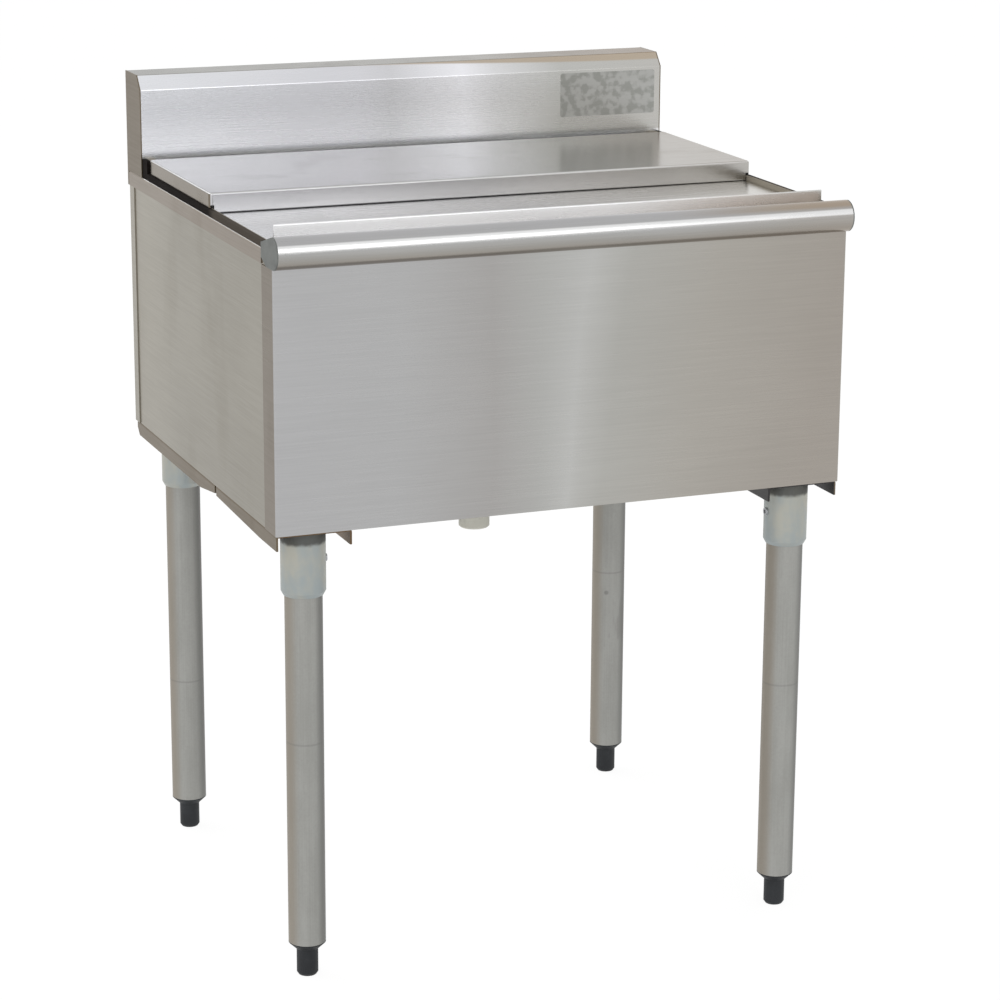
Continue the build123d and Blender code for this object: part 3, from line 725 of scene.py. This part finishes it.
# %% Shape to piece
SHARP_ANGLE = math.radians(40)


def plain_piece(shape, geometry, material, body="bin", points=()):
    """Ends the tree, makes its result a plain mesh and lets it ride on a body."""
    real = shape.node("GeometryNodeRealizeInstances", {}, {"Geometry": geometry})
    painted = shape.node("GeometryNodeSetMaterial", {}, {"Geometry": real, "Material": material})
    shape.node("NodeGroupOutput", {}, {0: painted})
    seed = bpy.data.meshes.new(f"{shape.name}_seed")
    seed.from_pydata(points, [], [])
    maker = bpy.data.objects.new(f"{shape.name}_maker", seed)
    scene.collection.objects.link(maker)
    modifier = maker.modifiers.new("shape", "NODES")
    modifier.node_group = shape.tree
    for size, value in shape.sizes.items():
        modifier[shape.keys[size]] = value
    ready = maker.evaluated_get(bpy.context.evaluated_depsgraph_get())
    mesh = bpy.data.meshes.new_from_object(ready)
    maker.modifiers.remove(modifier)
    bpy.data.objects.remove(maker)
    mesh.name = shape.name
    mesh.shade_smooth()
    mesh.set_sharp_from_angle(angle=SHARP_ANGLE)
    piece = bpy.data.objects.new(shape.name, mesh)
    scene.collection.objects.link(piece)
    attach(piece, body)
    print(shape.name, "has", len(mesh.polygons), "faces")
    return piece


print("pieces keep edges over", round(math.degrees(SHARP_ANGLE)), "degrees sharp")

# %% [markdown]
# ## The rolled edge
# The front edge is one strip of sheet: a flat tab on the front skin, then three quarters of a turn
# round to the rim. Its rule is the strip's developed length. Up to the tab's end a point stays
# flat, and past it the length divided by the radius is the angle. The strip then gets its thickness
# by extruding the grid inwards and turning that copy's faces round. The curl's solid comes in as a
# mesh of facets, so the grid's finer rows also give a calmer shine.

# %% Rolled sheet
ROLL_RADIUS = FRONT - ROLL_LOW[1]
ROLL_MIDDLE = ROLL_LOW[2] + ROLL_RADIUS
TAB_LENGTH = 14.0 * MM
ROLL_TURN = 1.5 * math.pi
ROLL_ROWS = 97

roll = Shape("roll_sheet", width=ROLL_HIGH[0] - ROLL_LOW[0], tab=TAB_LENGTH, radius=ROLL_RADIUS,
             sheet=SHEET, rows=ROLL_ROWS)
length = roll.size("tab") + roll.size("radius") * ROLL_TURN
strip, along_x, along_strip = roll.grid(roll.size("width"), length, 2, roll.size("rows"))
past_tab = along_strip - roll.size("tab")
angle = past_tab.math("MAXIMUM", 0.0) / roll.size("radius")
flat_part = past_tab.math("MINIMUM", 0.0)
skin = roll.bent(strip, along_x + ROLL_LOW[0],
                 FRONT - flat_part - roll.size("radius") * angle.math("SINE"),
                 ROLL_MIDDLE - roll.size("radius") * angle.math("COSINE"))
inward = roll.node("GeometryNodeExtrudeMesh", {}, {"Mesh": skin, "Individual": False,
                                                   "Offset Scale": 0.0 - roll.size("sheet")})
inside = roll.node("GeometryNodeFlipFaces", {}, {"Mesh": inward})
both = roll.node("GeometryNodeJoinGeometry", {}, {0: skin})
roll.tree.links.new(inside.socket, both.socket.node.inputs[0])
roll_sheet = plain_piece(roll, roll.merged(both), roll_finish)
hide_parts("rolled_front_edge")

# %% [markdown]
# ## Threaded levelling studs
# Each foot is screwed in or out by a threaded stud, which shows when the foot is lowered. Its rule
# is a helix: height divided by the pitch, less the turn, gives how far a point is from a crest. The
# lower end sits in the foot and is plain. The grid's first and last rows close to a point, so the
# stud has ends.

# %% Levelling studs
THREAD = {"pitch": 1.75 * MM, "depth": 0.9 * MM, "lead": 1.0 * MM}
CREST_ENDS, ROOT_STARTS = 0.15, 0.9
PLAIN_END, TIP = 26 * MM, MM / 100
STUD_COLUMNS, STUD_ROWS = 29, 336
FULL_TURN = 2 * math.pi

for corner in CORNERS:
    low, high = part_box(f"{corner}_foot_stud")
    stud = Shape(f"{corner}_threaded_stud", radius=(high[0] - low[0]) / 2, height=high[2] - low[2],
                 columns=STUD_COLUMNS, rows=STUD_ROWS, **THREAD)
    skin, turn, height = stud.grid(FULL_TURN, stud.size("height"), stud.size("columns"),
                                   stud.size("rows"))
    place = height / stud.size("pitch") - turn / FULL_TURN
    wave = place.math("FRACT") * 2.0 - 1.0
    root = stud.node("ShaderNodeMapRange", {}, {
        "Value": wave.math("ABSOLUTE"), "From Min": CREST_ENDS, "From Max": ROOT_STARTS})
    left_over = stud.size("height") - height
    radius = stud.size("radius") - stud.size("depth") * root * (height > PLAIN_END)
    radius = radius.math("MINIMUM", stud.size("radius") - stud.size("lead") + left_over)
    radius = radius * (height > TIP) * (left_over > TIP)
    skin = stud.bent(skin, radius * turn.math("COSINE") + (low[0] + high[0]) / 2,
                     radius * turn.math("SINE") + (low[1] + high[1]) / 2, height + low[2])
    piece = plain_piece(stud, skin, stud_zinc, f"{corner}_adjuster")
    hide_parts(f"{corner}_foot_stud")

# %% [markdown]
# ## Weld beads
# The sockets are welded to the channels above them, and a hand weld looks like a ring of
# overlapping coins. Here the ring is a torus whose thickness ripples: the sine of many times the
# turn swells and shrinks it, and a lean of the ripple with the height tips the coins over. One ring
# is made and set on four points, each turned by its own amount.

# %% Weld beads
RIPPLES, RIPPLE_LEAN = 21.0, 0.9
WELD_COLUMNS, WELD_ROWS = 337, 11
WELD_DROP = 1.3 * MM
middles = [((low[0] + high[0]) / 2, (low[1] + high[1]) / 2, SOCKET_TOP - WELD_DROP)
           for low, high in SOCKET_BOX.values()]
weld = Shape("socket_welds", ring=23.4 * MM, bead=1.7 * MM, ripple=0.55 * MM, columns=WELD_COLUMNS,
             rows=WELD_ROWS, seed=7)
skin, turn, bend = weld.grid(FULL_TURN, FULL_TURN, weld.size("columns"), weld.size("rows"))
phase = turn * RIPPLES + bend.math("SINE") * RIPPLE_LEAN
swell = phase.math("SINE")
thickness = weld.size("bead") + weld.size("ripple") * swell.math("ABSOLUTE")
reach = weld.size("ring") + thickness * bend.math("COSINE")
ring = weld.bent(skin, reach * turn.math("COSINE"), reach * turn.math("SINE"),
                 thickness * bend.math("SINE"))
start = weld.node("FunctionNodeRandomValue", {"data_type": "FLOAT"},
                  {2: 0.0, 3: FULL_TURN, "Seed": weld.size("seed")}, 1)
rings = weld.node("GeometryNodeInstanceOnPoints", {},
                  {"Points": Value(weld, weld.entry.outputs["Geometry"]), "Instance": ring,
                   "Rotation": weld.combined(0.0, 0.0, start)})
plain_piece(weld, rings, weld_zinc, points=middles)

# %% [markdown]
# ## The rear cover's hem
# The rear cover's front flange reaches down close to the sheet that slides under it, and its edge
# is folded back on itself so that it doesn't cut. The fold is a thin trim: a J of sheet, drawn as a
# closed outline, with its half circle as points on the arc. A small function extrudes an outline
# into a piece, and the plate further down uses it too.

# %% Outline to piece
def drawn_out(name, outline, along, material):
    """A closed outline of points, extruded along a vector into a solid piece.

    Looked at against the vector the outline runs anticlockwise, so every face looks outwards.
    """
    count = len(outline)
    starts = [Vector(point) for point in outline]
    points = starts + [point + Vector(along) for point in starts]
    ends = [tuple(reversed(range(count))), tuple(range(count, 2 * count))]
    sides = [(i, (i + 1) % count, (i + 1) % count + count, i + count) for i in range(count)]
    mesh = bpy.data.meshes.new(name)
    mesh.from_pydata(points, [], ends + sides)
    mesh.materials.append(material)
    piece = bpy.data.objects.new(name, mesh)
    scene.collection.objects.link(piece)
    print(name, "has", count, "points in its outline")
    return piece


print("outline helper ready")

# %% Flange hem
HEM_LOW, HEM_BACK, ARC_STEPS = 0.7569, 0.7685, 8
FLANGE_LOW = 0.765
HEM_INSET, HEM_INNER = 5.0 * MM, 1.02 * SHEET


def half_circle(middle_y, middle_z, radius, start):
    """Points of half a circle in the y-z plane, counted from an angle in degrees."""
    turns = [math.radians(start + 180 * step / ARC_STEPS) for step in range(ARC_STEPS + 1)]
    return [(middle_y + radius * math.cos(t), middle_z + radius * math.sin(t)) for t in turns]


face_y, hem_start = REAR_LOW[1], REAR_LOW[0] + HEM_INSET
hem_outline = ([(face_y, FLANGE_LOW)] + half_circle(face_y + SHEET, HEM_LOW + SHEET, SHEET, 180)
               + [(face_y + 2 * SHEET, HEM_BACK), (face_y + HEM_INNER, HEM_BACK),
                  (face_y + HEM_INNER, FLANGE_LOW)])
rear_cover_hem = drawn_out("rear_cover_hem", [(hem_start, y, z) for y, z in hem_outline],
                           (REAR_HIGH[0] - REAR_LOW[0] - 2 * HEM_INSET, 0, 0), rear_cover_sheet)
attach(rear_cover_hem, "lift_off_cover")

# %% [markdown]
# ## The bare plate
# A small foil plate sits near the right end of the splash. It is left bare. Its outline is a
# rectangle with rounded corners, drawn as points round four quarter circles.

# %% Bare plate
PLATE_X, PLATE_Z = (0.182, 0.297), (0.7965, 0.8455)
PLATE_THICK, PLATE_CORNER, CORNER_STEPS = 0.3 * MM, 2.5 * MM, 7

outline = []
for quarter, (x, z) in enumerate(((1, 1), (0, 1), (0, 0), (1, 0))):
    middle_x = PLATE_X[x] + (PLATE_CORNER if x == 0 else -PLATE_CORNER)
    middle_z = PLATE_Z[z] + (PLATE_CORNER if z == 0 else -PLATE_CORNER)
    for step in range(CORNER_STEPS):
        turn = math.radians(90 * (quarter + step / (CORNER_STEPS - 1)))
        outline.append((middle_x + PLATE_CORNER * math.cos(turn), SPLASH_LOW[1],
                        middle_z + PLATE_CORNER * math.sin(turn)))
bare_plate = drawn_out("bare_plate", outline, (0, -PLATE_THICK, 0), plate_foil)
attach(bare_plate, "bin")

# %% [markdown]
# ## The studio
# A white room with soft light. The floor is mostly its own light and partly real, so it stays white
# but still takes the bin's shadow. The camera and the metal both see the room as white, while
# everything else gets a weaker light from it, and three large lamps model the shape.

# %% Floor
FLOOR_HALF = 12.0
FLOOR_GLOW, GLOW_STRENGTH = 0.82, 1.12

floor_mesh = bpy.data.meshes.new("floor")
corners = [(x * FLOOR_HALF, y * FLOOR_HALF, 0) for x, y in ((-1, -1), (1, -1), (1, 1), (-1, 1))]
floor_mesh.from_pydata(corners, [], [(0, 1, 2, 3)])
floor = bpy.data.objects.new("floor", floor_mesh)
scene.collection.objects.link(floor)


def seen_directly(graph):
    """1 for rays from the camera, from gloss and through glass, else 0."""
    path = graph.tree.nodes.new("ShaderNodeLightPath")
    seen = [Value(graph, path.outputs[name])
            for name in ("Is Camera Ray", "Is Glossy Ray", "Is Transmission Ray")]
    return graph.node("ShaderNodeClamp", {}, {0: seen[0] + seen[1] + seen[2]})


floor_material = bpy.data.materials.new("floor")
floor_material.use_nodes = True
graph = Graph(floor_material.node_tree)
glow = graph.node("ShaderNodeEmission", {}, {"Color": (1, 1, 1, 1), "Strength": GLOW_STRENGTH})
matt = graph.node("ShaderNodeBsdfDiffuse", {}, {"Color": (0.85, 0.85, 0.85, 1)})
shown = graph.node("ShaderNodeMixShader", {},
                   {0: seen_directly(graph) * FLOOR_GLOW, 1: matt, 2: glow})
graph.node("ShaderNodeOutputMaterial", {}, {"Surface": shown})
floor_mesh.materials.append(floor_material)
print("floor", 2 * FLOOR_HALF, "m wide")

# %% World
ROOM_LIGHT = 0.55

world = bpy.data.worlds.new("studio")
scene.world = world
world.use_nodes = True
graph = Graph(world.node_tree)
strength = ROOM_LIGHT + seen_directly(graph) * (1.0 - ROOM_LIGHT)
sky = graph.node("ShaderNodeBackground", {}, {"Color": (1, 1, 1, 1), "Strength": strength})
graph.node("ShaderNodeOutputWorld", {}, {"Surface": sky})
print("room light", ROOM_LIGHT)

# %% Lamps
LAMPS = {
    "key": ((-1.6, 1.9, 2.6), (3.2, 2.0), 24.0),
    "fill": ((-2.2, -2.4, 1.9), (1.8, 1.8), 14.0),
    "front": ((0.42, -2.6, 1.65), (1.4, 1.2), 8.0),
}
AIM = Vector((0.0, 0.0, 0.6))
for name, (place, size, power) in LAMPS.items():
    lamp = bpy.data.objects.new(name, bpy.data.lights.new(name, "AREA"))
    scene.collection.objects.link(lamp)
    lamp.data.shape = "RECTANGLE"
    lamp.data.size, lamp.data.size_y = size
    lamp.data.energy = power
    lamp.location = place
    lamp.rotation_euler = (AIM - Vector(place)).to_track_quat("-Z", "Y").to_euler()
print("lamps", {name: values[2] for name, values in LAMPS.items()})
